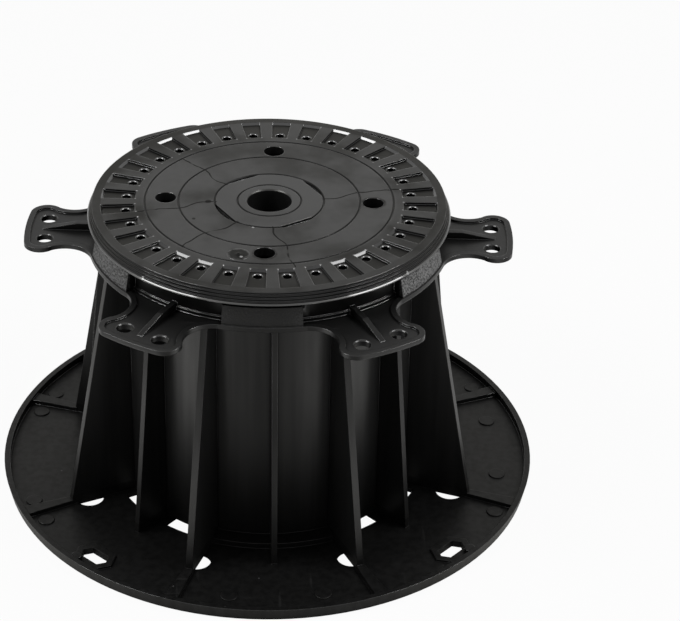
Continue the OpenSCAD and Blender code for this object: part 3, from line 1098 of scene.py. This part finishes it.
@dataclass
class TurningRing:
    """The eared ring with its inner thread and the lips of its holes."""

    finish: RingPlastic
    bore: float = 56.0 * MM
    low: float = 102.0 * MM
    high: float = 126.0 * MM
    thread_shift: float = 0.5
    hole_radius: float = 3.7 * MM
    lip_width: float = 0.5 * MM
    lip_around: int = 40

    def thread(self) -> bpy.types.Object:
        """Thread inside the sleeve, half a turn ahead of the stem's."""
        return helix_ridge("ring_thread", self.bore, self.low, self.high, Thread.INSIDE, self.thread_shift)

    def lips(self) -> bpy.types.Object:
        """Sloped lips in the mouths of the ear holes.

        Returns:
            The piece.
        """
        skin = self.finish
        reach = math.hypot(skin.hole_out, skin.hole_side)
        aside = math.degrees(math.atan2(skin.hole_side, skin.hole_out))
        middles = [skin.turn + 360.0 * k / skin.ears for k in range(skin.ears)]
        angles = [middle + side * aside for middle in middles for side in (-1, 1)]
        places = [(*polar(reach, angle), skin.level) for angle in angles]
        return hoops("ear_hole_lips", lip_section(self.hole_radius, self.lip_width), places, self.lip_around)

    def build(self, effects: Effects) -> None:
        """Dress the ring, and add its thread and the lips of its holes.

        Args:
            effects: Shared node groups.
        """
        plastic = self.finish.build(effects)
        dress(Body.RING.value, plastic)
        for piece in (self.thread(), self.lips()):
            put_on(piece, Body.RING, plastic)


@dataclass
class Head:
    """The screw head with its stem thread, rim skirt, hole lips and the mark of its gate.

    The steps of the gate mark are radii and heights in millimetres.
    """

    finish: HeadPlastic
    stem: float = 53.5 * MM
    low: float = 32.0 * MM
    high: float = 124.0 * MM
    rim_radius: float = 76.4 * MM
    rim_drop: float = 5.1 * MM
    skirt_out: float = 0.6 * MM
    skirt_up: float = 0.95 * MM
    skirt_edge: float = 0.1 * MM
    skirt_sink: float = 0.3 * MM
    skirt_around: int = 360
    hole_circle: float = 60.8 * MM
    hole_radius: float = 2.2 * MM
    lip_width: float = 0.45 * MM
    lip_around: int = 28
    gate_circle: float = 46.7 * MM
    gate_turn: float = -107.6
    gate_around: int = 40
    gate_steps: Tuple[Tuple[float, float], ...] = (
        (0.25, 0.62), (0.55, 0.5), (0.8, 0.22), (1.1, 0.1), (2.2, 0.08), (3.6, 0.12), (4.3, 0.1), (4.7, 0.03),
        (4.7, -0.3))

    def thread(self) -> bpy.types.Object:
        """Thread round the stem."""
        return helix_ridge("stem_thread", self.stem, self.low, self.high, Thread.OUTSIDE, 0.0)

    def lips(self) -> bpy.types.Object:
        """Sloped lips in the mouths of the pocket holes.

        Returns:
            The piece.
        """
        skin = self.finish
        angles = [skin.turn + skin.pocket_turn + 360.0 * k / skin.pockets for k in range(skin.pockets)]
        places = [(*polar(self.hole_circle, angle), skin.level - skin.pocket_depth) for angle in angles]
        return hoops("hole_lips", lip_section(self.hole_radius, self.lip_width), places, self.lip_around)

    def skirt(self) -> bpy.types.Object:
        """Thin sloped skirt along the lowest tier of the rim.

        Returns:
            The piece.
        """
        inner, outer = self.rim_radius - self.skirt_sink, self.rim_radius + self.skirt_out
        section = [(inner, self.skirt_up), (outer, self.skirt_edge), (outer, 0.0), (inner, 0.0)]
        return hoops("rim_skirt", section, [(0.0, 0.0, self.finish.level - self.rim_drop)], self.skirt_around)

    def gate(self) -> bpy.types.Object:
        """Shallow round scar with a small nub where the mould was filled.

        Returns:
            The piece.
        """
        profile = [(radius * MM, height * MM) for radius, height in self.gate_steps]
        place = (*polar(self.gate_circle, self.gate_turn), self.finish.level)
        mark = studs("gate_mark", profile, [place], self.gate_around)
        smooth(mark)
        return mark

    def build(self, effects: Effects) -> None:
        """Dress the head, and add its thread, lips, skirt and gate mark.

        Args:
            effects: Shared node groups.
        """
        plastic = self.finish.build(effects)
        dress(Body.HEAD.value, plastic)
        for piece in (self.thread(), self.lips(), self.skirt(), self.gate()):
            put_on(piece, Body.HEAD, plastic)


# Studio


@dataclass(frozen=True)
class SoftBox:
    """A rectangular lamp, placed along the camera's level axes and turned to face one place.

    Metres, watts and degrees.
    """

    name: str
    right: float
    ahead: float
    up: float
    size: Tuple[float, float]
    watts: float
    spin: float

    def hang(self, right: Vector, ahead: Vector, target: Vector) -> None:
        """Hang the lamp.

        Args:
            right: Level direction to the camera's right.
            ahead: Level direction ahead of the camera.
            target: Place that the lamp faces.
        """
        place = right * self.right + ahead * self.ahead + Vector((0.0, 0.0, self.up))
        data = bpy.data.lights.new(self.name, "AREA")
        data.shape = "RECTANGLE"
        data.size, data.size_y = self.size
        data.energy = self.watts
        lamp = bpy.data.objects.new(self.name, data)
        faced = (place - target).to_track_quat("Z", "Y").to_matrix().to_4x4()
        spun = Matrix.Rotation(math.radians(self.spin), 4, "Z")
        lamp.matrix_world = Matrix.Translation(place) @ faced @ spun
        lamp.visible_camera = False
        bpy.context.scene.collection.objects.link(lamp)


@dataclass
class Studio:
    """Pale floor, soft boxes, even surroundings and the camera."""

    aim_right: float = 30.97 * MM
    aim_height: float = 77.85 * MM
    camera_turn: float = -93.96
    camera_tilt: float = 31.90
    camera_roll: float = -1.323
    camera_distance: float = 1051.8 * MM
    focal_pixels: float = 2416.0
    image_width: float = 680.0
    sensor_width: float = 36.0
    camera_clip: Tuple[float, float] = (0.05, 20.0)
    lamp_target: Tuple[float, float, float] = (0.0, 0.0, 0.132)
    soft_boxes: Tuple[SoftBox, ...] = (
        SoftBox("soft_box_left", -0.701, -0.191, 0.938, (0.54, 0.32), 7.4, 30.0),
        SoftBox("soft_box_right", 0.747, -0.088, 0.914, (0.54, 0.32), 7.4, -30.0),
    )
    low_cards: Tuple[SoftBox, ...] = (
        SoftBox("low_card_left", -0.150, -0.140, 0.001, (0.16, 0.10), 0.15, 38.0),
        SoftBox("low_card_right", 0.150, -0.140, 0.001, (0.16, 0.10), 0.15, -38.0),
    )
    room_light: float = 0.1
    floor_half: float = 4.0
    floor_drop: float = 0.1 * MM
    floor_albedo: float = 0.6
    floor_white: float = 0.95
    shade_inner: float = 112.0 * MM
    shade_outer: float = 124.0 * MM

    def level_axes(self) -> Tuple[Vector, Vector]:
        """Find the camera's level axes.

        Returns:
            The level directions to the camera's right and ahead of it.
        """
        turn = math.radians(self.camera_turn)
        ahead = Vector((-math.cos(turn), -math.sin(turn), 0.0))
        return Vector((ahead.y, -ahead.x, 0.0)), ahead

    def camera(self) -> None:
        """Stand the camera where the photograph was taken from."""
        right, ahead = self.level_axes()
        tilt, roll = math.radians(self.camera_tilt), math.radians(self.camera_roll)
        sky = Vector((0.0, 0.0, 1.0))
        look = ahead * math.cos(tilt) - sky * math.sin(tilt)
        up = ahead * math.sin(tilt) + sky * math.cos(tilt)
        across = right * math.cos(roll) - up * math.sin(roll)
        upright = right * math.sin(roll) + up * math.cos(roll)
        place = right * self.aim_right + sky * self.aim_height - look * self.camera_distance
        data = bpy.data.cameras.new("camera")
        data.sensor_width = self.sensor_width
        data.lens = self.focal_pixels / self.image_width * self.sensor_width
        data.clip_start, data.clip_end = self.camera_clip
        eye = bpy.data.objects.new("camera", data)
        turned = Matrix((across, upright, -look)).transposed().to_4x4()
        eye.matrix_world = Matrix.Translation(place) @ turned
        bpy.context.scene.collection.objects.link(eye)
        bpy.context.scene.camera = eye

    def lamps(self) -> None:
        """Hang a soft box high on either side, and lay a bright card on the floor below each."""
        right, ahead = self.level_axes()
        for box in self.soft_boxes:
            box.hang(right, ahead, Vector(self.lamp_target))
        for card in self.low_cards:
            card.hang(right, ahead, right * card.right + ahead * card.ahead + Vector((0.0, 0.0, 1.0)))

    @staticmethod
    def seen(nodes: Nodes, lit: Value = 1.0) -> Socket:
        """Return 1 for camera rays, the given share for mirror and glass rays, and 0 for the others.

        Args:
            nodes: Nodes of the material or the world.
            lit: Share that mirror and glass rays get.

        Returns:
            The weight.
        """
        path = nodes.add("ShaderNodeLightPath").outputs
        mirrored = nodes.math("ADD", path["Is Glossy Ray"], path["Is Transmission Ray"], clamp=True)
        return nodes.math("MULTIPLY_ADD", mirrored, lit, path["Is Camera Ray"], clamp=True)

    def room(self) -> None:
        """Make surroundings that look white and light the object softly."""
        world = bpy.data.worlds.new("room")
        nodes = Nodes.fresh(world)
        level = nodes.math("MULTIPLY_ADD", self.seen(nodes), 1.0 - self.room_light, self.room_light)
        back = nodes.fill(nodes.add("ShaderNodeBackground"), {"Color": grey(1.0), "Strength": level})
        nodes.fill(nodes.add("ShaderNodeOutputWorld"), {"Surface": back.outputs["Background"]})
        bpy.context.scene.world = world

    def floor(self) -> None:
        """Lay a pale floor just below the base.

        It looks white and keeps the shadow, and for mirror rays it is dark below the base.
        """
        reach, level = self.floor_half, -self.floor_drop
        mesh = bpy.data.meshes.new("floor")
        corners = [(x * reach, y * reach, level) for x, y in ((-1, -1), (1, -1), (1, 1), (-1, 1))]
        mesh.from_pydata(corners, [], [(0, 1, 2, 3)])
        plane = bpy.data.objects.new("floor", mesh)
        bpy.context.scene.collection.objects.link(plane)
        material = bpy.data.materials.new("pale_floor")
        nodes = Nodes.fresh(material)
        matt = nodes.fill(nodes.add("ShaderNodeBsdfDiffuse"), {"Color": grey(self.floor_albedo)})
        glow = nodes.fill(nodes.add("ShaderNodeEmission"), {"Color": grey(1.0)})
        away = nodes.vector("LENGTH", nodes.add("ShaderNodeTexCoord").outputs["Object"])
        lit = nodes.ramp(away, self.shade_inner, self.shade_outer)
        white = nodes.math("MULTIPLY", self.seen(nodes, lit), self.floor_white)
        mix = nodes.add("ShaderNodeMixShader")
        nodes.fill(mix, {"Fac": white, 1: matt.outputs["BSDF"], 2: glow.outputs["Emission"]})
        nodes.fill(nodes.add("ShaderNodeOutputMaterial"), {"Surface": mix.outputs["Shader"]})
        mesh.materials.append(material)

    def build(self) -> None:
        """Set up the floor, the light and the camera."""
        self.floor()
        self.room()
        self.lamps()
        self.camera()
        bpy.context.scene.view_settings.view_transform = "Standard"
        LOG.info("studio ready")


def main() -> None:
    """Build the pedestal's looks in order."""
    logging.basicConfig(level=logging.INFO, format="%(name)s: %(message)s")
    head_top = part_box("head")[1].z
    effects = Effects()
    base = Base(BasePlastic(Slot.BASE, specular=0.24, roughness=0.3, edge_polish=0.14))
    ring = TurningRing(RingPlastic(
        Slot.RING, specular=0.2, roughness=0.28, level=head_top - EAR_DROP, flow_dull=0.34,
        edge_round=0.45 * MM, corner_reach=2.6 * MM))
    head = Head(HeadPlastic(
        Slot.HEAD, specular=0.44, roughness=0.26, level=head_top, edge_round=0.5 * MM, edge_polish=0.7,
        coat_roughness=0.09))
    base.build(effects)
    ring.build(effects)
    head.build(effects)
    Studio().build()


if __name__ == "__main__":
    main()
